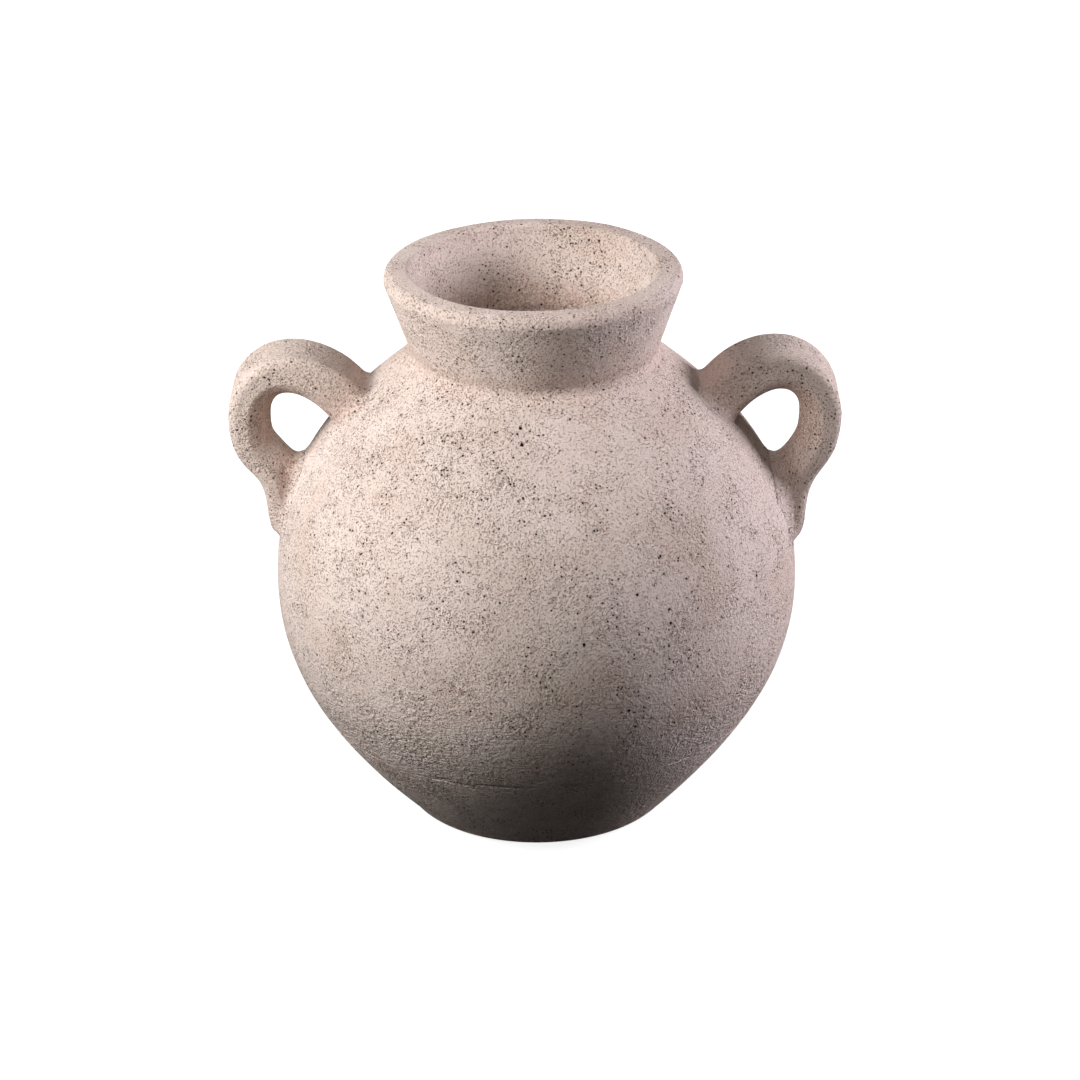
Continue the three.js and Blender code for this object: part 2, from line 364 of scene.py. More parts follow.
def spin(profile, normals):
    """Turns a profile about the axis: points and normals, row by row."""
    turn = np.arange(TURNS) * 2 * math.pi / TURNS
    level = np.stack([np.cos(turn), np.sin(turn)], 1)
    points = np.empty((len(profile), TURNS, 3))
    out = np.empty_like(points)
    points[..., :2] = profile[:, None, :1] * level
    points[..., 2] = profile[:, None, 1]
    out[..., :2] = normals[:, None, :1] * level
    out[..., 2] = normals[:, None, 1]
    return points.reshape(-1, 3), out.reshape(-1, 3)


def grid_faces(rows, columns, closed_rows):
    faces = []
    for row in range(rows if closed_rows else rows - 1):
        below = row * columns
        above = (row + 1) % rows * columns
        for column in range(columns):
            after = (column + 1) % columns
            faces.append((below + column, below + after, above + after, above + column))
    return faces


def turned(runs):
    """A closed turned ring of clay: points, normals, kinds and faces."""
    profile, normals, kinds = turn_profile(runs)
    points, out = spin(profile, normals)
    return points, out, np.repeat(kinds, TURNS), grid_faces(len(profile), TURNS, True)


# Open pores, real holes where sand or air came out of the clay: smallest and largest radius, and shape
PORE_R = (0.34, 0.85)
PORE_SMALL_BIAS = 2.5
PORE_CORNERS = 8
PORE_RAGGED = (0.65, 0.6)
PORE_ROOM = 0.8
PORE_DEPTH = 1.4
PORE_THROAT = 0.62
PORE_THROAT_DEPTH = 0.8
# Painted shade in a pore: full at its throat and bottom, this share of it on the rim
PORE_RIM_PAINTED_SHADE = 0.2

# How many pores each piece has, and how they gather in patches
PORE_SPARSE = 0.1
PORE_PATCH_L = 30.0
PORE_CLUSTER_L = 11.0
PORE_CLUSTER_SHARE = 0.6
PORE_PATCHES = (0.05, 0.65)
BIG_PORE_NEAR = 2.5
STRAP_PORE_LIFT = 1.0
STRAP_PORE_ENDS = 3
BOWL_PORES = 520
WALL_PORES = 1550
COLLAR_PORES = 520
STRAP_PORES = 360

# Where pores crowd, by bearing from the front, height, reach and strength, and the largest with their radius
PORE_SWARMS = (
    (-45, 246, 14, 2.0), (-33, 255, 14, 3.0), (-22, 254, 12, 3.0), (-5, 262, 7, 5.0), (22, 186, 9, 2.0),
    (10, 161, 9, 4.0), (16, 161, 9, 2.0), (30, 165, 14, 3.0), (29, 145, 12, 2.5), (20, 112, 14, 3.0),
    (9, 107, 10, 2.5), (2, 136, 10, 2.0), (-24, 125, 13, 2.0), (-79, 258, 6, 6.0),
)
BIG_PORES = (
    (-5.2, 265.3, 1.25), (-4.5, 257.8, 1.4), (10.3, 162.6, 1.3), (9.8, 159.9, 1.1), (22.4, 185.8, 1.1),
    (29.6, 174.8, 1.0), (29.7, 165.2, 1.1), (19.4, 119.2, 1.2), (21.9, 106.9, 1.1), (8.8, 109.7, 1.0),
    (32.4, 276.5, 1.2), (-76.9, 256.2, 1.5), (-78.2, 259.2, 1.1), (-80.5, 262.3, 0.9),
)


def on_skin(bearing, height):
    radius, _ = skin_points(skin_at(height))
    across, front = heading(90 - bearing)
    return np.array([radius * across, -radius * front, height])


def pore_crowding(places):
    """How likely a pore is at each place: sparse everywhere, more in patches and in the named swarms."""
    patches = noise_at(places, PORE_PATCH_L, shift=3.0)
    patches += PORE_CLUSTER_SHARE * noise_at(places, PORE_CLUSTER_L, shift=7.0)
    crowd = PORE_SPARSE + smoothstep(patches, *PORE_PATCHES)
    for bearing, height, reach, strength in PORE_SWARMS:
        gap = np.linalg.norm(places - on_skin(bearing, height), axis=1)
        crowd += strength * band(gap, 0, reach)
    return crowd


def open_pores(points, out, faces, columns, centres, count, seed, marks):
    """Opens pores in a grid of clay. Each takes the four cells round a grid point, which is its bottom."""
    rng = np.random.default_rng(seed)
    row, column = np.divmod(centres, columns)
    left = (column - 1) % columns
    right = (column + 1) % columns
    before = (row - 1) * columns
    level = row * columns
    after = (row + 1) * columns
    ring = np.stack([
        before + left, before + column, before + right, level + right,
        after + right, after + column, after + left, level + left,
    ], 1)
    cells = np.stack([before + left, before + column, level + left, level + column], 1)
    wide = np.linalg.norm(points[ring[:, 3]] - points[ring[:, 7]], axis=1)
    tall = np.linalg.norm(points[ring[:, 5]] - points[ring[:, 1]], axis=1)
    chance = pore_crowding(points[centres]) * wide * tall
    chosen = rng.choice(len(centres), count, replace=False, p=chance / chance.sum())
    radii = PORE_R[0] + (PORE_R[1] - PORE_R[0]) * rng.random(count) ** PORE_SMALL_BIAS
    wanted = []
    for bearing, height, radius in BIG_PORES:
        gap = np.linalg.norm(points[centres] - on_skin(bearing, height), axis=1)
        if gap.min() < BIG_PORE_NEAR:
            wanted.append((int(gap.argmin()), radius))
    wanted += list(zip(chosen.tolist(), radii.tolist()))
    taken = np.zeros(len(faces), bool)
    new_points = [points.copy()]
    new_faces = []
    # Painted shade in each pore: full at the throat and bottom, less on the rim
    pore_painted_shade = np.zeros(len(points))
    new_marks = {mark: [values] for mark, values in marks.items()}
    new_marks["pore_painted_shade"] = [pore_painted_shade]
    size = len(points)
    for pick, radius in wanted:
        if taken[cells[pick]].any():
            continue
        taken[cells[pick]] = True
        centre = centres[pick]
        spokes = points[ring[pick]] - points[centre]
        spans = np.linalg.norm(spokes, axis=1)
        ragged = PORE_RAGGED[0] + PORE_RAGGED[1] * rng.random(PORE_CORNERS)
        radius_there = np.minimum(radius * ragged, PORE_ROOM * spans)
        depth = PORE_DEPTH * radius_there.mean()
        rim = points[centre] + spokes / spans[:, None] * radius_there[:, None]
        throat = points[centre] + PORE_THROAT * (rim - points[centre])
        throat -= PORE_THROAT_DEPTH * depth * out[centre]
        new_points[0][centre] = points[centre] - depth * out[centre]
        new_points += [rim, throat]
        pore_painted_shade[centre] = 1
        for mark, values in marks.items():
            new_marks[mark].append(np.full(2 * PORE_CORNERS, values[centre]))
        new_marks["pore_painted_shade"].append(np.repeat([PORE_RIM_PAINTED_SHADE, 1.0], PORE_CORNERS))
        rim_at = size
        throat_at = size + PORE_CORNERS
        for k in range(PORE_CORNERS):
            following = (k + 1) % PORE_CORNERS
            new_faces.append((int(ring[pick, k]), int(ring[pick, following]), rim_at + following, rim_at + k))
            new_faces.append((rim_at + k, rim_at + following, throat_at + following, throat_at + k))
            new_faces.append((throat_at + k, throat_at + following, int(centre)))
        size += 2 * PORE_CORNERS
    faces = [face for face, gone in zip(faces, taken) if not gone] + new_faces
    return np.vstack(new_points), faces, {mark: np.concatenate(parts) for mark, parts in new_marks.items()}


def skin_centres(kinds, columns):
    """Grid points with skin on every side, where a pore may open."""
    rows = kinds.reshape(-1, columns)[:, 0] == "skin"
    inner = np.nonzero(rows & np.roll(rows, 1) & np.roll(rows, -1))[0]
    return (inner[:, None] * columns + np.arange(columns)).ravel()


# Strap handles
def strap_line(loop_drop, tail_rise):
    """Centreline of a strap: out of the shoulder, over the arch, down the arm and onto the wall."""
    root = skin_points(skin_at(NECK_ROOT_Z - ROOT_DROP), ROOT_SINK)
    spring = heading(ROOT_SPRING)
    outermost = np.array([BELLY_R + LOOP_REACH, root[1] - loop_drop])
    tail_end = skin_points(skin_at(BELLY_Z + tail_rise))
    arch = cubic(root, root + ROOT_PULL * spring, outermost + [0, LOOP_TOP_PULL], outermost)
    into_tail = tail_end + TAIL_PULL * heading(90 + TAIL_LEAN)
    arm = cubic(outermost, outermost - [0, LOOP_LOW_PULL], into_tail, tail_end)
    line = even(np.vstack([root - ROOT_LEAD * spring, arch, arm[1:]]), STRAP_LINE_STEP)
    from_end = 1 - lengths(line) / lengths(line)[-1]
    line[:, 0] -= TAIL_TIP_SINK * (1 - smoothstep(from_end, 0, TAIL_SINK_SHARE))
    return line


def strap_section(width, thickness, thin):
    """Rounded strap section: across the width, then across the thickness, inner face crowned."""
    edge = min(STRAP_EDGE, STRAP_EDGE_SHARE * thickness)
    flat = width / 2 - edge
    upright = thickness / 2 - edge
    quarter = np.linspace(0, math.pi / 2, STRAP_CORNER_POINTS)
    corners = []
    for corner, (side_x, side_y) in enumerate(((1, 1), (-1, 1), (-1, -1), (1, -1))):
        turn = quarter + corner * math.pi / 2
        across = side_x * flat + edge * np.cos(turn)
        through = side_y * upright + edge * np.sin(turn)
        corners.append(np.stack([across, through], 1))
    outline = np.vstack(corners + [corners[0][:1]])
    count = int(2 * (STRAP_W + STRAP_ROOT_T) / STRAP_STEP)
    run = lengths(outline)
    places = np.linspace(0, run[-1], count + 1)[:-1]
    section = np.stack([np.interp(places, run, outline[:, axis]) for axis in range(2)], 1)
    inward = np.maximum(-2 * section[:, 1] / thickness, 0)
    aside = (2 * section[:, 0] / width) ** 2
    section[:, 1] -= inward * (STRAP_CROWN * (1 - aside) - thin * aside)
    return section


def strap_rings(loop_drop, tail_rise):
    """Sections of a strap along its centreline, from inside the shoulder to the tail's end."""
    line = strap_line(loop_drop, tail_rise)
    run = lengths(line)
    forward = np.gradient(line, run, axis=0)
    forward /= np.linalg.norm(forward, axis=1)[:, None]
    outward = np.stack([-forward[:, 1], forward[:, 0]], 1)
    share = run / run[-1]
    from_end = run[-1] - run
    thumb = np.sqrt(1 - (1 - np.minimum(from_end / TAIL_END_L, 1)) ** 2)
    tip = np.sqrt(1 - (1 - np.clip(from_end / TAIL_TIP_L, TAIL_TIP_LEFT, 1)) ** 2)
    thickness = STRAP_ROOT_T + (STRAP_TAIL_T - STRAP_ROOT_T) * share
    thickness *= (TAIL_END_T + (1 - TAIL_END_T) * thumb) * tip
    width = STRAP_W * (TAIL_END_W + (1 - TAIL_END_W) * thumb)
    thin = EDGE_THIN * smoothstep(share, *EDGE_THIN_ALONG)
    rings = []
    for i in range(len(line)):
        section = strap_section(width[i], thickness[i], thin[i] * tip[i])
        place = line[i] + section[:, 1:] * outward[i]
        rings.append(np.stack([place[:, 0], section[:, 0], place[:, 1]], 1))
    return np.array(rings)


def strap_between_walls(rings):
    """Each long line of a strap, from where it leaves the wall at the root to where it meets it again."""
    count, columns, _ = rings.shape
    gap = skin_gap(rings.reshape(-1, 3))[0].reshape(count, columns) - SLIP / 2
    middle = count // 3
    steps = np.linspace(0, 1, STRAP_ROWS)
    steps -= END_CROWDING * np.sin(2 * math.pi * steps) / (2 * math.pi)
    rows = np.empty((STRAP_ROWS, columns, 3))
    for column in range(columns):
        inside = gap[:, column] <= 0
        first = np.nonzero(inside[:middle])[0].max()
        last = middle + np.nonzero(inside[middle:])[0].min()
        start = first + gap[first, column] / (gap[first, column] - gap[first + 1, column])
        end = last - gap[last, column] / (gap[last, column] - gap[last - 1, column])
        places = start + (end - start) * steps
        for axis in range(3):
            rows[:, column, axis] = np.interp(places, np.arange(count), rings[:, column, axis])
    return rows


def onto_skin(points):
    gap, out = skin_gap(points)
    return points - (gap - SLIP / 2)[:, None] * out


def strap_mesh(rows):
    """Closed strap: the long grid, and a saddle against the wall at each end."""
    columns = rows.shape[1]
    points = [rows.reshape(-1, 3)]
    faces = grid_faces(STRAP_ROWS, columns, False)
    for end, first in ((0, 0), (-1, (STRAP_ROWS - 1) * columns)):
        rim = rows[end]
        centre = rim.mean(0)
        before = first
        for ring in range(1, SADDLE_RINGS):
            start = sum(len(part) for part in points)
            points.append(onto_skin(rim + (centre - rim) * ring / SADDLE_RINGS))
            for column in range(columns):
                after = (column + 1) % columns
                face = (before + column, before + after, start + after, start + column)
                faces.append(tuple(reversed(face)) if end == 0 else face)
            before = start
        start = sum(len(part) for part in points)
        points.append(onto_skin(centre[None]))
        for column in range(columns):
            face = (before + column, before + (column + 1) % columns, start)
            faces.append(tuple(reversed(face)) if end == 0 else face)
    return np.vstack(points), faces


def vertex_normals(points, faces):
    mesh = bpy.data.meshes.new("normals")
    mesh.from_pydata(points.tolist(), [], faces)
    normals = np.empty(len(points) * 3, np.float32)
    mesh.vertex_normals.foreach_get("vector", normals)
    bpy.data.meshes.remove(mesh)
    return normals.reshape(-1, 3).astype(float)


def fillet_rise(points, normals, gap_to, reach, stop):
    """How far points rise along their normals onto a hollow fillet towards a neighbour.

    On the fillet the square roots of the two distances add up to that of the reach. A rise ends at stop times
    the gap that is left, so that two sides which face each other share the fillet.
    """
    low = np.zeros(len(points))
    high = reach.copy()
    for _ in range(FILLET_TRIES):
        middle = (low + high) / 2
        gap = np.maximum(gap_to(points + normals * middle[:, None]), 0)
        there = (np.sqrt(middle) + np.sqrt(gap) >= np.sqrt(reach)) | (middle >= stop * gap)
        high = np.where(there, middle, high)
        low = np.where(there, low, middle)
    return high


def strap_reach(rows):
    """Reach of the fillet at each point of a strap, over, beside or under it, at the root or the tail."""
    count, columns, _ = rows.shape
    section = strap_section(STRAP_W, STRAP_ROOT_T, 0)
    up = np.clip(2 * section[:, 1] / STRAP_ROOT_T, -1, 1)
    half = np.arange(count) < count // 2
    reach = np.empty((count, columns))
    for rows_there, (over, beside, under) in ((half, ROOT_REACH), (~half, TAIL_REACH)):
        upper = (over - beside) * np.maximum(up, 0) ** REACH_SQUARENESS
        lower = (under - beside) * np.maximum(-up, 0) ** REACH_SQUARENESS
        reach[rows_there] = beside + upper + lower
    return reach.ravel()


def smoothed_strap(bare, normals, reach):
    """A strap's points on the fillets at its ends, their lift over the wall, and how they face the wall."""
    gap, wall_out = skin_gap(bare)
    facing = (normals * wall_out).sum(1)
    near = gap < reach
    opposed = smoothstep(-facing, *CROTCH_FACING)
    stop = (2 - opposed) / np.maximum(opposed, LEAST_OPPOSED)
    rise = np.zeros(len(bare))
    rise[near] = fillet_rise(
        bare[near], normals[near], lambda places: skin_gap(places)[0], reach[near], stop[near])
    rise *= 1 - np.maximum(facing, 0)
    shaped = bare + normals * rise[:, None]
    lift, wall_out = skin_gap(shaped)
    on_wall = (1 - smoothstep(gap, 0, ON_WALL)) * (1 - opposed)
    shaped -= wall_out * (np.maximum(lift - SLIP / 2, 0) * on_wall)[:, None]
    return shaped, lift, wall_out, facing


def strap_wear_and_shade(lift, facing, columns):
    """Where the wash is thin on a strap, round both ends and more at the root, and painted shade in bare-clay
    colour on the inner face.
    """
    at_root = np.repeat(1 - smoothstep(np.arange(STRAP_ROWS) / STRAP_ROWS, *HANDLE_ROOT_SHARE), columns)
    ends = (HANDLE_END_WORN + HANDLE_ROOT_WORN * at_root) * smoothstep(lift, *HANDLE_WORN_FROM)
    ends *= 1 - smoothstep(lift, *HANDLE_WORN_TO)
    # Painted shade in bare-clay colour on the inner face, where the loop shades it
    shaded_inner_face = smoothstep(-facing, *INNER_FACING) * smoothstep(lift, *INNER_LIFT)
    return np.maximum(ends, INNER_FACE_PAINTED_SHADE * shaded_inner_face)


def strap_handle(name, loop_drop, tail_rise, side):
    """A handle, with the bare strap's tree and the reach of the fillet at each of its faces."""
    rows = strap_between_walls(strap_rings(loop_drop, tail_rise))
    columns = rows.shape[1]
    bare = rows.reshape(-1, 3)
    normals = vertex_normals(bare, grid_faces(STRAP_ROWS, columns, False))
    reach = strap_reach(rows)
    shaped, lift, wall_out, facing = smoothed_strap(bare, normals, reach)
    turned_way = np.array([side, side, 1])
    bed = 1 - smoothstep(lift, 0, STRAP_BED)
    shaped += wall_out * (bed * waves(shaped * turned_way, HAND_WAVES))[:, None]
    shaped += normals * ((1 - bed) * waves(shaped + STRAP_WAVE_SHIFT * side, STRAP_WAVES))[:, None]
    points, faces = strap_mesh(shaped.reshape(rows.shape))
    saddles = np.zeros(len(points) - len(shaped))
    marks = {
        "wear_and_painted_shade": np.concatenate([strap_wear_and_shade(lift, facing, columns), saddles]),
        "pulled": np.concatenate([smoothstep(lift, 0, STRAP_TONE), saddles]),
    }
    free_rows = np.nonzero(lift.reshape(rows.shape[:2]).min(1) > STRAP_PORE_LIFT)[0]
    free_rows = free_rows[STRAP_PORE_ENDS:-STRAP_PORE_ENDS]
    centres = (free_rows[:, None] * columns + np.arange(columns)).ravel()
    out = np.vstack([normals * turned_way, np.zeros((len(saddles), 3))])
    points, faces, marks = open_pores(
        points * turned_way, out, faces, columns, centres, count=STRAP_PORES, seed=5 + side, marks=marks)
    bare_points, bare_faces = strap_mesh(rows)
    tree = BVHTree.FromPolygons((bare_points * turned_way).tolist(), bare_faces)
    long_faces = (STRAP_ROWS - 1) * columns
    face_reach = np.zeros(len(bare_faces))
    face_reach[:long_faces] = reach[:long_faces]
    return make_piece(name, points, faces, marks), tree, face_reach


right_handle, *right_strap = strap_handle("right_handle_clay", RIGHT_LOOP_DROP, RIGHT_TAIL_RISE, 1)
left_handle, *left_strap = strap_handle("left_handle_clay", LEFT_LOOP_DROP, LEFT_TAIL_RISE, -1)


def strap_gap(tree, place):
    """Signed distance from a place to a strap, and the strap's normal and face there."""
    found, normal, face, gap = tree.find_nearest(Vector(place))
    inside = (found - Vector(place)).dot(normal) > 0
    return (-gap if inside else gap), normal, face


def rise_in_crotches(points, out, shown):
    """Fillet of the wall towards the inner face of a strap, in each crotch, fading out beside the strap."""
    raised = np.zeros(len(points))
    low, high = CROTCH_Z
    near = shown & (np.abs(points[:, 0]) > CROTCH_NEAR_X) & (points[:, 2] > low) & (points[:, 2] < high)
    for (tree, face_reach), there in ((right_strap, points[:, 0] > 0), (left_strap, points[:, 0] < 0)):
        chosen = []
        facing = []
        reach = []
        for i in np.nonzero(near & there)[0]:
            gap, normal, face = strap_gap(tree, points[i])
            if 0 < gap < face_reach[face]:
                chosen.append(i)
                facing.append(-normal.dot(Vector(out[i])))
                reach.append(face_reach[face])
        opposed = smoothstep(np.array(facing), *CROTCH_FACING)
        raised[chosen] = fillet_rise(
            points[chosen], out[chosen],
            lambda places: np.array([strap_gap(tree, place)[0] for place in places]),
            np.array(reach), opposed / (2 - opposed))
    return raised


# Turned pieces
def floor_slab():
    """Floor slab: stepped edge, finger spiral on its upper face, a little uneven underneath."""
    top_r = slab_r + LEDGE_W
    runs = [
        (even([(HUB_R, FLOOR_HOLLOW), (slab_r, FLOOR_HOLLOW)], ROW), "under"),
        (even([(slab_r, FLOOR_HOLLOW), (slab_r, LEDGE_Z + SLIP), (top_r, LEDGE_Z + SLIP)], ROW), "joint"),
        (even([(top_r, LEDGE_Z + SLIP), (top_r, FLOOR_T)], ROW), "joint"),
        (even([(top_r, FLOOR_T), (HUB_R, FLOOR_T)], ROW), "inside"),
    ]
    profile, normals, kinds = turn_profile(runs)
    points, out = spin(profile, normals)
    kinds = np.repeat(kinds, TURNS)
    radius = np.hypot(points[:, 0], points[:, 1])
    calm = smoothstep(radius, *SPIRAL_CALM) * smoothstep(top_r - radius, 0, SPIRAL_EDGE_CALM)
    move = np.zeros(len(points))
    inside = kinds == "inside"
    move[inside] = throwing_rings(points[inside]) * calm[inside] - SPIRAL_SINK
    under = kinds == "under"
    move[under] = waves(points[under], UNDER_WAVES) * smoothstep(slab_r - radius[under], 0, UNDER_CALM)
    last = (len(profile) - 1) * TURNS
    faces = grid_faces(len(profile), TURNS, False)
    faces.append(tuple(range(TURNS))[::-1])
    faces.append(tuple(last + column for column in range(TURNS)))
    return make_piece("floor_slab_clay", points + out * move[:, None], faces, {"wear_and_painted_shade": UNDER_WORN * under})


def skin_move(points, kinds):
    """Moves of the outer and inner skin away from the true turned form."""
    move = np.zeros(len(points))
    outer = kinds == "skin"
    move[outer] = waves(points[outer], HAND_WAVES) - turning_lines(points[outer])
    inner = kinds == "inside"
    move[inner] = throwing_rings(points[inner]) + waves(points[inner], HAND_WAVES)
    return move


def pored_ring(name, ring, move, count, seed, marks):
    """Moves a turned ring's points along their normals, opens pores in its skin and makes the piece."""
    points, out, kinds, faces = ring
    points, faces, marks = open_pores(
        points + out * move[:, None], out, faces, TURNS, skin_centres(kinds, TURNS), count, seed, marks)
    return make_piece(name, points, faces, marks)


def lower_bowl():
    """Lower bowl: foot ring with a rounded edge, ledge for the slab, tongue behind the turning line."""
    ledge_r = slab_r + LEDGE_W + SLIP
    seam = skin_at(SEAM_Z)
    fine_from = skin_at(SEAM_Z - TURNING_BAND)
    tongue_top = skin_at(SEAM_Z + LAP)
    inner_foot = skin_at(FLOOR_T, WALL)
    runs = [
        (even([(slab_r + SLIP, 0), (FOOT_R - FOOT_EDGE, 0)], ROW), "foot"),
        (bend((FOOT_R - FOOT_EDGE, 0), foot, skin_points(FOOT_EDGE)), "foot"),
        (along_skin(FOOT_EDGE, fine_from, 0, BOWL_ROW), "skin"),
        (along_skin(fine_from, seam, 0, TURNING_ROW), "skin"),
        (even([skin_points(seam), skin_points(seam, tongue_depth)], ROW), "joint"),
        (along_skin(seam, tongue_top, tongue_depth, JOINT_ROW), "joint"),
        (even([skin_points(tongue_top, tongue_depth), skin_points(tongue_top, WALL)], JOINT_ROW), "joint"),
        (along_skin(tongue_top, inner_foot, WALL, ROW), "inside"),
        (even([skin_points(inner_foot, WALL), (ledge_r, FLOOR_T), (ledge_r, LEDGE_Z)], JOINT_ROW), "joint"),
        (even([(ledge_r, LEDGE_Z), (slab_r + SLIP, LEDGE_Z), (slab_r + SLIP, 0)], JOINT_ROW)[:-1], "joint"),
    ]
    ring = turned(runs)
    points, _, kinds, _ = ring
    height = points[:, 2]
    move = skin_move(points, kinds) * smoothstep(height, 0, FOOT_CALM)
    wear_and_painted_shade = np.where(kinds == "foot", FOOT_WORN, FOOT_SIDE_WORN * band(height, 0, FOOT_SIDE_BAND))
    return pored_ring("lower_bowl_clay", ring, move, BOWL_PORES, 1, {"wear_and_painted_shade": wear_and_painted_shade})


def belly_wall():
    """Belly wall: widest ring and shoulder, raised softly into the crotches of the handles."""
    lip_end = skin_at(SEAM_Z)
    fine_to = skin_at(SEAM_Z + TURNING_BAND)
    lip_root = skin_at(SEAM_Z + LAP + SLIP)
    inside = along_skin(skin_run[-1], lip_root, WALL, JOINT_ROW)
    inside = inside[inside[:, 0] > hole_r]
    runs = [
        (along_skin(lip_end, fine_to, 0, TURNING_ROW), "skin"),
        (along_skin(fine_to, seat_place, 0, ROW), "skin"),
        (even([seat, (hole_r, seat[1]), (hole_r, inside[0, 1])], JOINT_ROW), "joint"),
        (inside, "inside"),
        (along_skin(lip_root, lip_end, lip_depth, JOINT_ROW), "joint"),
    ]
    ring = turned(runs)
    points, out, kinds, _ = ring
    move = skin_move(points, kinds) + rise_in_crotches(points, out, kinds == "skin")
    return pored_ring("belly_wall_clay", ring, move, WALL_PORES, 2, {})


def neck_collar():
    """Neck collar: spigot, soft fillet on the shoulder, flared wall, rolled lip and funnel."""
    spigot_r = hole_r - SLIP
    spigot_end = seat[1] - SPIGOT_L
    rim_out = np.array([RIM_R, RIM_Z - RIM_EDGE])
    wall_up = (rim_out - neck_root) / np.linalg.norm(rim_out - neck_root)
    lip_in = np.array([RIM_R - LIP_W, RIM_Z - LIP_DROP])
    lip_out = np.array([RIM_R - LIP_W + LIP_DROP / 2, RIM_Z])
    fillet_top = neck_root + NECK_FILLET * wall_up
    foot_fillet = bend(seat, neck_root, fillet_top, LIP_POINTS)
    outer_roll = bend(rim_out, (RIM_R, RIM_Z), (RIM_R - RIM_EDGE, RIM_Z), LIP_POINTS)
    inner_roll = bend(lip_out, (RIM_R - LIP_W, RIM_Z), lip_in, LIP_POINTS)
    funnel_top = lip_in - LIP_DROP * wall_up
    funnel = bend(funnel_top, (throat_r, NECK_ROOT_Z + NECK_FILLET), (throat_r, seat[1]), LIP_POINTS)
    runs = [
        (even([(spigot_r, spigot_end), (spigot_r, seat[1]), seat], JOINT_ROW)[:-1], "joint"),
        (even(foot_fillet, NECK_FILLET_ROW), "skin"),
        (even([fillet_top, rim_out], FINE_ROW), "skin"),
        (even(outer_roll, LIP_ROW), "skin"),
        (even([(RIM_R - RIM_EDGE, RIM_Z), lip_out], LIP_ROW), "skin"),
        (even(inner_roll, LIP_ROW), "skin"),
        (even([lip_in, funnel_top], FINE_ROW), "skin"),
        (even(funnel, FINE_ROW), "skin"),
        (even([(throat_r, seat[1]), (throat_r, spigot_end)], ROW), "skin"),
        (even([(throat_r, spigot_end), (spigot_r, spigot_end)], JOINT_ROW)[:-1], "joint"),
    ]
    ring = turned(runs)
    points, _, kinds, _ = ring
    height = points[:, 2]
    outside = np.hypot(points[:, 0], points[:, 1]) > NECK_ROOT_R - INSIDE_MARGIN
    throat = (1 - smoothstep(height, *THROAT_Z)) * ~outside * (kinds == "skin")
    move = skin_move(points, kinds) + throat * throwing_rings(points)
    neck_foot = band(height, NECK_ROOT_Z + NECK_FOOT_LIFT, NECK_FOOT_BAND) * outside
    rim = band(height, RIM_Z - RIM_WORN_DROP, RIM_WORN_BAND)
    # The throat's share is painted shade in bare-clay colour, inside the neck where it lies in shade
    marks = {"wear_and_painted_shade": NECK_FOOT_WORN * neck_foot + RIM_WORN * rim + THROAT_PAINTED_SHADE * throat}
    return pored_ring("neck_collar_clay", ring, move, COLLAR_PORES, 3, marks)


slab = floor_slab()
bowl = lower_bowl()
wall = belly_wall()
collar = neck_collar()


# Materials
def linear(hex_colour):
    """sRGB hex to linear RGBA."""
    values = [int(hex_colour[place:place + 2], 16) / 255 for place in (1, 3, 5)]
    return [v / 12.92 if v <= 0.04045 else ((v + 0.055) / 1.055) ** 2.4 for v in values] + [1.0]


def add(tree, kind, inputs=None, **settings):
    """Adds a node with its settings, and sets or links its inputs."""
    node = tree.nodes.new(kind)
    for name, value in settings.items():
        setattr(node, name, value)
    for name, value in (inputs or {}).items():
        if isinstance(value, bpy.types.NodeSocket):
            tree.links.new(value, node.inputs[name])
        else:
            node.inputs[name].default_value = value
    return node


# Sizes in the clay's skin, in millimetres. Its grit of about 0.5 mm is drawn coarser, or it wouldn't show
SAND = 1.6
FLECK = 0.95
STREAK = 1.1
STREAK_LENGTHS = 4
CRUST = 2.8
CRUMB = 0.8
CRUMB_SHIFT = 0.6
PINHOLE_CELL = 2.8
PINHOLE_R = 0.27
ROUGH_PATCH = 19.0
TONE_PATCH = 42.0

# Relief, in millimetres, and how much more of it there is low on the belly
SAND_RELIEF = 0.8
STREAK_RELIEF = 1.4
PIT_DEPTH = 0.85
PINHOLE_DEPTH = 0.8
LOW_BELLY = (SEAM_Z - 6, SEAM_Z + 16)
LOW_CRUST = 0.9
LOW_COARSER = 0.5
LOW_PINHOLES = 0.1

# Colours: the wash in two tones and on the straps, bare clay (also used as painted shade on the handles'
# inner faces and in the throat), pits in both tones, partly bare clay and partly painted shade, and the
# painted shade in a hole
WASH = ("#e5d4cb", "#dcc9be")
STRAP_WASH = "#deccc1"
BARE_CLAY = "#bd9580"
PIT_CLAY_AND_PAINTED_SHADE = ("#bca293", "#be977f")
HOLE_PAINTED_SHADE = "#3c2d27"


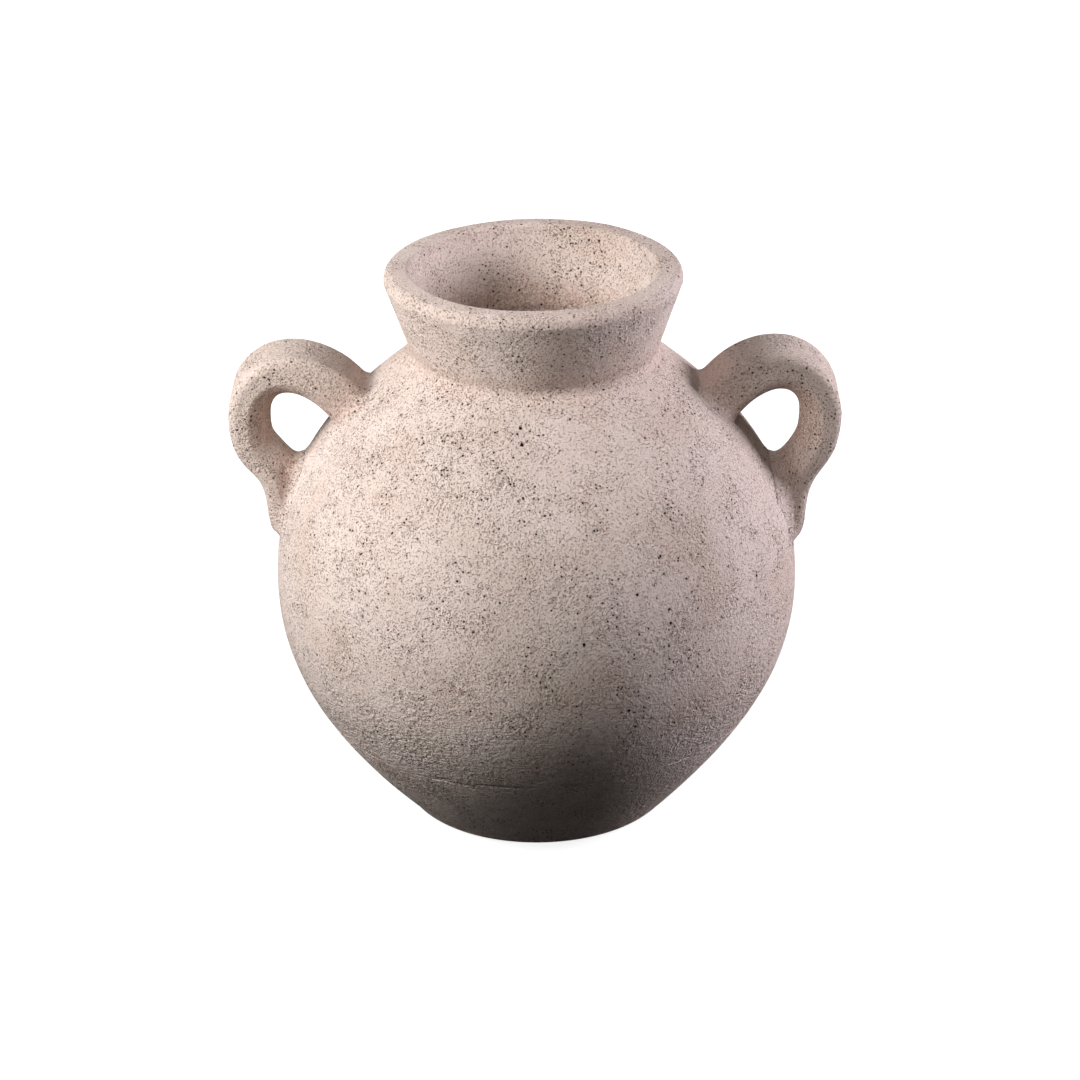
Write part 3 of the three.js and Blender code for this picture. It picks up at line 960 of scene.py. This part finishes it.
def washed_terracotta():
    """Sand-tempered terracotta, hand thrown, brushed with a pale clay wash and fired without glaze.

    To the eye: chalky and matt, fine sand all over, pinholes and open pores with painted shade in them, warm
    clay where the wash is thin, the same bare-clay colour as painted shade on the handles' inner faces and in
    the throat, pits partly bare clay and partly painted shade, streaks of the brush low on the belly, one
    even tone on the straps. In a mix of colours 0 is the share, 6 the first and 7 the second colour.
    """
    material = bpy.data.materials.new("washed_terracotta")
    material.use_nodes = True
    tree = material.node_tree
    tree.nodes.clear()
    place = add(tree, "ShaderNodeTexCoord").outputs["Object"]
    mm = add(tree, "ShaderNodeVectorMath", {0: place, 1: (1 / MM,) * 3}, operation="MULTIPLY").outputs[0]
    height = add(tree, "ShaderNodeSeparateXYZ", {0: mm}).outputs["Z"]
    pore_painted_shade = add(tree, "ShaderNodeAttribute", attribute_name="pore_painted_shade").outputs["Fac"]
    wear_and_painted_shade = add(tree, "ShaderNodeAttribute", attribute_name="wear_and_painted_shade").outputs["Fac"]
    pulled = add(tree, "ShaderNodeAttribute", attribute_name="pulled").outputs["Fac"]

    # Unevenness: sand under the wash, patches of tone, rough and smooth patches
    sand = add(tree, "ShaderNodeTexNoise", {
        "Vector": mm, "Scale": 1 / SAND, "Detail": 3.0, "Roughness": 0.65}).outputs["Fac"]
    patches = add(tree, "ShaderNodeTexNoise", {
        "Vector": mm, "Scale": 1 / TONE_PATCH, "Detail": 3.0}).outputs["Fac"]
    swarms = add(tree, "ShaderNodeTexNoise", {
        "Vector": mm, "Scale": 1 / ROUGH_PATCH, "Detail": 3.0}).outputs["Fac"]

    # Streaks of the brush, four times as long as they are high, under the widest ring
    stretch = (1 / STREAK_LENGTHS, 1 / STREAK_LENGTHS, 1.0)
    along_streaks = add(tree, "ShaderNodeVectorMath", {0: mm, 1: stretch}, operation="MULTIPLY").outputs[0]
    streaks = add(tree, "ShaderNodeTexNoise", {
        "Vector": along_streaks, "Scale": 1 / STREAK, "Detail": 1.0}).outputs["Fac"]
    streaked = add(tree, "ShaderNodeMapRange", {
        "Value": height, "From Min": BELLY_Z, "From Max": SEAM_Z, "To Min": 0.0, "To Max": 1.0}).outputs[0]
    streaks = add(tree, "ShaderNodeMath", {0: streaks, 1: streaked}, operation="MULTIPLY").outputs[0]

    # Pits that sand left in the wash: flecks of about 0.5 mm, closer together in the rough patches
    grain = add(tree, "ShaderNodeTexNoise", {
        "Vector": mm, "Scale": 1 / FLECK, "Detail": 1.0, "Roughness": 0.6}).outputs["Fac"]
    pit_bar = add(tree, "ShaderNodeMapRange", {
        "Value": swarms, "From Min": 0.35, "From Max": 0.65, "To Min": 0.61, "To Max": 0.54}).outputs[0]
    pit_floor = add(tree, "ShaderNodeMath", {0: pit_bar, 1: 0.14}, operation="ADD").outputs[0]
    pits = add(tree, "ShaderNodeMapRange", {
        "Value": grain, "From Min": pit_bar, "From Max": pit_floor}).outputs[0]

    # Crusty relief in the rough patches and all over the low belly, less of it under the turning line
    low_belly = add(tree, "ShaderNodeMapRange", {
        "Value": height, "From Min": LOW_BELLY[0], "From Max": LOW_BELLY[1],
        "To Min": 0.2, "To Max": 1.0}).outputs[0]
    low_belly = add(tree, "ShaderNodeMath", {0: low_belly, 1: streaked}, operation="MULTIPLY").outputs[0]
    crust = add(tree, "ShaderNodeTexNoise", {"Vector": mm, "Scale": 1 / CRUST, "Detail": 2.0}).outputs["Fac"]
    crusted = add(tree, "ShaderNodeMapRange", {
        "Value": swarms, "From Min": 0.42, "From Max": 0.64, "To Min": 0.0, "To Max": 1.6}).outputs[0]
    crusted = add(tree, "ShaderNodeMath", {
        0: low_belly, 1: LOW_CRUST, 2: crusted}, operation="MULTIPLY_ADD").outputs[0]
    crust = add(tree, "ShaderNodeMath", {0: crust, 1: 0.5}, operation="SUBTRACT").outputs[0]
    crust = add(tree, "ShaderNodeMath", {0: crust, 1: crusted}, operation="MULTIPLY").outputs[0]

    # Pinholes up to 1.5 mm across, in cells of which few are open, more in rough patches and the low belly
    crumble = add(tree, "ShaderNodeTexNoise", {
        "Vector": mm, "Scale": 1 / CRUMB, "Detail": 1.0}).outputs["Color"]
    crumble = add(tree, "ShaderNodeVectorMath", {
        0: crumble, "Scale": CRUMB_SHIFT}, operation="SCALE").outputs[0]
    crumbled = add(tree, "ShaderNodeVectorMath", {0: mm, 1: crumble}, operation="ADD").outputs[0]
    cells = add(tree, "ShaderNodeTexVoronoi", {"Vector": crumbled, "Scale": 1 / PINHOLE_CELL})
    luck = add(tree, "ShaderNodeSeparateColor", {"Color": cells.outputs["Color"]}).outputs[0]
    luck_bar = add(tree, "ShaderNodeMapRange", {
        "Value": swarms, "From Min": 0.4, "From Max": 0.64, "To Min": 0.97, "To Max": 0.4}).outputs[0]
    luck_bar = add(tree, "ShaderNodeMath", {
        0: low_belly, 1: -LOW_PINHOLES, 2: luck_bar}, operation="MULTIPLY_ADD").outputs[0]
    luck_full = add(tree, "ShaderNodeMath", {0: luck_bar, 1: 0.12}, operation="ADD").outputs[0]
    mouth = add(tree, "ShaderNodeMapRange", {
        "Value": luck, "From Min": luck_bar, "From Max": luck_full,
        "To Min": 0.0, "To Max": PINHOLE_R}).outputs[0]
    bottom = add(tree, "ShaderNodeMath", {0: mouth, 1: 0.55}, operation="MULTIPLY").outputs[0]
    pinholes = add(tree, "ShaderNodeMapRange", {
        "Value": cells.outputs["Distance"], "From Min": mouth, "From Max": bottom}).outputs[0]
    # Painted shade in the pinholes and the open pores
    hole_painted_shade = add(tree, "ShaderNodeMath", {
        0: pinholes, 1: 0.95, 2: pore_painted_shade}, operation="MULTIPLY_ADD", use_clamp=True).outputs[0]

    # Colour: wash in two tones, warm where it is worn or thin, the same warm bare clay as painted shade on
    # the handles' inner faces and in the throat, speckled by the sand, pits partly painted shade, painted
    # shade in the holes
    tone = add(tree, "ShaderNodeMapRange", {"Value": patches, "From Min": 0.36, "From Max": 0.66}).outputs[0]
    colour = add(tree, "ShaderNodeMix", {
        0: tone, 6: linear(WASH[0]), 7: linear(WASH[1])}, data_type="RGBA").outputs[2]
    colour = add(tree, "ShaderNodeMix", {
        0: pulled, 6: colour, 7: linear(STRAP_WASH)}, data_type="RGBA").outputs[2]
    rub = add(tree, "ShaderNodeMapRange", {"Value": sand, "From Min": 0.4, "From Max": 0.62}).outputs[0]
    thin_patch = add(tree, "ShaderNodeMapRange", {
        "Value": patches, "From Min": 0.56, "From Max": 0.75, "To Min": 0.0, "To Max": 0.25}).outputs[0]
    # Bare clay where the wash is worn or thin, and painted shade in the same colour on the handles' inner
    # faces and in the throat
    thin = add(tree, "ShaderNodeMath", {0: wear_and_painted_shade, 1: thin_patch}, operation="MAXIMUM").outputs[0]
    thin = add(tree, "ShaderNodeMath", {0: thin, 1: rub}, operation="MULTIPLY").outputs[0]
    colour = add(tree, "ShaderNodeMix", {
        0: thin, 6: colour, 7: linear(BARE_CLAY)}, data_type="RGBA").outputs[2]
    speck = add(tree, "ShaderNodeMapRange", {
        "Value": grain, "From Min": 0.3, "From Max": 0.7, "To Min": 1.12, "To Max": 0.88}).outputs[0]
    colour = add(tree, "ShaderNodeVectorMath", {0: colour, "Scale": speck}, operation="SCALE").outputs[0]
    # Pit colour: partly bare clay in the sand pits, partly painted shade in them
    pit_clay_and_shade = add(tree, "ShaderNodeMix", {
        0: tone, 6: linear(PIT_CLAY_AND_PAINTED_SHADE[0]), 7: linear(PIT_CLAY_AND_PAINTED_SHADE[1])}, data_type="RGBA").outputs[2]
    colour = add(tree, "ShaderNodeMix", {0: pits, 6: colour, 7: pit_clay_and_shade}, data_type="RGBA").outputs[2]
    # Painted shade: near-black colour in the holes
    colour = add(tree, "ShaderNodeMix", {
        0: hole_painted_shade, 6: colour, 7: linear(HOLE_PAINTED_SHADE)}, data_type="RGBA").outputs[2]

    # Relief, coarser low on the belly
    relief = add(tree, "ShaderNodeMath", {
        0: sand, 1: SAND_RELIEF, 2: crust}, operation="MULTIPLY_ADD").outputs[0]
    coarser = add(tree, "ShaderNodeMath", {
        0: low_belly, 1: LOW_COARSER, 2: 1.0}, operation="MULTIPLY_ADD").outputs[0]
    relief = add(tree, "ShaderNodeMath", {0: relief, 1: coarser}, operation="MULTIPLY").outputs[0]
    for form, rise in ((streaks, STREAK_RELIEF), (pits, -PIT_DEPTH), (pinholes, -PINHOLE_DEPTH)):
        relief = add(tree, "ShaderNodeMath", {
            0: form, 1: rise, 2: relief}, operation="MULTIPLY_ADD").outputs[0]
    bump = add(tree, "ShaderNodeBump", {"Height": relief, "Distance": MM, "Strength": 1.0}).outputs[0]
    shader = add(tree, "ShaderNodeBsdfPrincipled", {
        "Base Color": colour, "Normal": bump, "Roughness": 0.95, "IOR": 1.5, "Specular IOR Level": 0.25,
        "Diffuse Roughness": 0.3})
    add(tree, "ShaderNodeOutputMaterial", {"Surface": shader.outputs[0]})
    return material


clay = washed_terracotta()
pieces = (
    (slab, "floor_slab"),
    (bowl, "lower_bowl"),
    (wall, "belly_wall"),
    (collar, "neck_collar"),
    (right_handle, "right_handle"),
    (left_handle, "left_handle"),
)
for piece, node_name in pieces:
    piece.data.materials.append(clay)
    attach(piece, "root")
    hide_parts(node_name)


# Stage: pale floor and white surroundings, seen as white, that send little light back up to the vase
FLOOR_HALF = 8.0
PAPER_LIT = "#9a9a9a"
PAPER_DIM = "#171716"
PAPER_GLOW = (0.86, 1.0)
PAPER_GLOW_AT = (0.15, 0.6)
WHITE = "#ffffff"
ROOM_LIGHT = 0.003


def eye_rays(tree):
    """1 for what the eye sees, also in a mirror or through glass, and 0 for light on its way to the vase."""
    path = add(tree, "ShaderNodeLightPath").outputs
    straight = path["Is Camera Ray"]
    mirrored = path["Is Glossy Ray"]
    through = path["Is Transmission Ray"]
    seen = add(tree, "ShaderNodeMath", {0: straight, 1: mirrored}, operation="MAXIMUM").outputs[0]
    return add(tree, "ShaderNodeMath", {0: seen, 1: through}, operation="MAXIMUM").outputs[0]


def studio_paper():
    """Matt background paper: it keeps a soft shadow under the vase and runs out to white."""
    material = bpy.data.materials.new("studio_paper")
    material.use_nodes = True
    tree = material.node_tree
    tree.nodes.clear()
    place = add(tree, "ShaderNodeTexCoord").outputs["Object"]
    from_vase = add(tree, "ShaderNodeVectorMath", {0: place}, operation="LENGTH").outputs["Value"]
    glow_level = add(tree, "ShaderNodeMapRange", {
        "Value": from_vase, "From Min": PAPER_GLOW_AT[0], "From Max": PAPER_GLOW_AT[1],
        "To Min": PAPER_GLOW[0], "To Max": PAPER_GLOW[1]}).outputs[0]
    lit = add(tree, "ShaderNodeBsdfDiffuse", {"Color": linear(PAPER_LIT)}).outputs[0]
    glow = add(tree, "ShaderNodeEmission", {"Color": linear(WHITE), "Strength": glow_level}).outputs[0]
    bright = add(tree, "ShaderNodeAddShader", {0: lit, 1: glow}).outputs[0]
    dim = add(tree, "ShaderNodeBsdfDiffuse", {"Color": linear(PAPER_DIM)}).outputs[0]
    mix = add(tree, "ShaderNodeMixShader", {0: eye_rays(tree), 1: dim, 2: bright}).outputs[0]
    add(tree, "ShaderNodeOutputMaterial", {"Surface": mix})
    return material


floor_corners = [(x * FLOOR_HALF, y * FLOOR_HALF, 0) for x, y in ((-1, -1), (1, -1), (1, 1), (-1, 1))]
floor_mesh = bpy.data.meshes.new("studio_floor")
floor_mesh.from_pydata(floor_corners, [], [(0, 1, 2, 3)])
floor_mesh.materials.append(studio_paper())
studio_floor = bpy.data.objects.new("studio_floor", floor_mesh)
bpy.context.scene.collection.objects.link(studio_floor)

world = bpy.data.worlds.new("studio")
bpy.context.scene.world = world
world.use_nodes = True
world.node_tree.nodes.clear()
seen_room = add(world.node_tree, "ShaderNodeBackground", {"Color": linear(WHITE), "Strength": 1.0}).outputs[0]
dim_room = add(world.node_tree, "ShaderNodeBackground", {
    "Color": linear(WHITE), "Strength": ROOM_LIGHT}).outputs[0]
room_mix = add(world.node_tree, "ShaderNodeMixShader", {
    0: eye_rays(world.node_tree), 1: dim_room, 2: seen_room}).outputs[0]
add(world.node_tree, "ShaderNodeOutputWorld", {"Surface": room_mix})

# Lamps: bearing from the front, positive to the right, angle of lift, distance, width, height, watts, colour
LAMP_AIM = Vector((0, 0, 0.17))
LAMPS = (
    ("left_softbox", -64, 31, 0.95, 0.42, 0.28, 8.8, WHITE),
    ("top_softbox", -20, 42, 0.85, 0.45, 0.45, 1.6, WHITE),
    ("right_softbox", 92, 20, 1.3, 0.5, 0.4, 17.8, "#f8f5ff"),
    ("back_softbox", 180, 8, 1.2, 0.8, 0.8, 4.0, WHITE),
)
for name, bearing, lift, distance, width, height, watts, tint in LAMPS:
    lamp = bpy.data.lights.new(name, "AREA")
    lamp.shape = "RECTANGLE"
    lamp.size = width
    lamp.size_y = height
    lamp.energy = watts
    lamp.color = linear(tint)[:3]
    holder = bpy.data.objects.new(name, lamp)
    level = heading(bearing - 90)
    rise = heading(lift)
    way = Vector((level[0] * rise[0], level[1] * rise[0], rise[1]))
    holder.location = LAMP_AIM + distance * way
    holder.rotation_euler = way.to_track_quat("Z", "Y").to_euler()
    holder.visible_camera = False
    bpy.context.scene.collection.objects.link(holder)

# Camera: the photograph's viewing angle and framing
CAMERA_LIFT = 24.46
CAMERA_DISTANCE = 2.2
CAMERA_TILT = 0.6
CAMERA_LENS = 126.5
CAMERA_SENSOR = 36
CAMERA_SHIFT = (0.00335, 0.0133)
CAMERA_AIM = Vector((0, 0, 0.15))
camera = bpy.data.objects.new("camera", bpy.data.cameras.new("camera"))
camera.data.lens = CAMERA_LENS
camera.data.sensor_width = CAMERA_SENSOR
camera.data.shift_x = CAMERA_SHIFT[0]
camera.data.shift_y = CAMERA_SHIFT[1]
rise = heading(CAMERA_LIFT)
way = Vector((0, -rise[0], rise[1]))
camera.location = CAMERA_AIM + CAMERA_DISTANCE * way
turn = way.to_track_quat("Z", "Y").to_matrix().to_4x4()
camera.rotation_euler = (turn @ turn.Rotation(math.radians(-CAMERA_TILT), 4, "Z")).to_euler()
bpy.context.scene.collection.objects.link(camera)
bpy.context.scene.camera = camera
bpy.context.scene.view_settings.view_transform = "Standard"
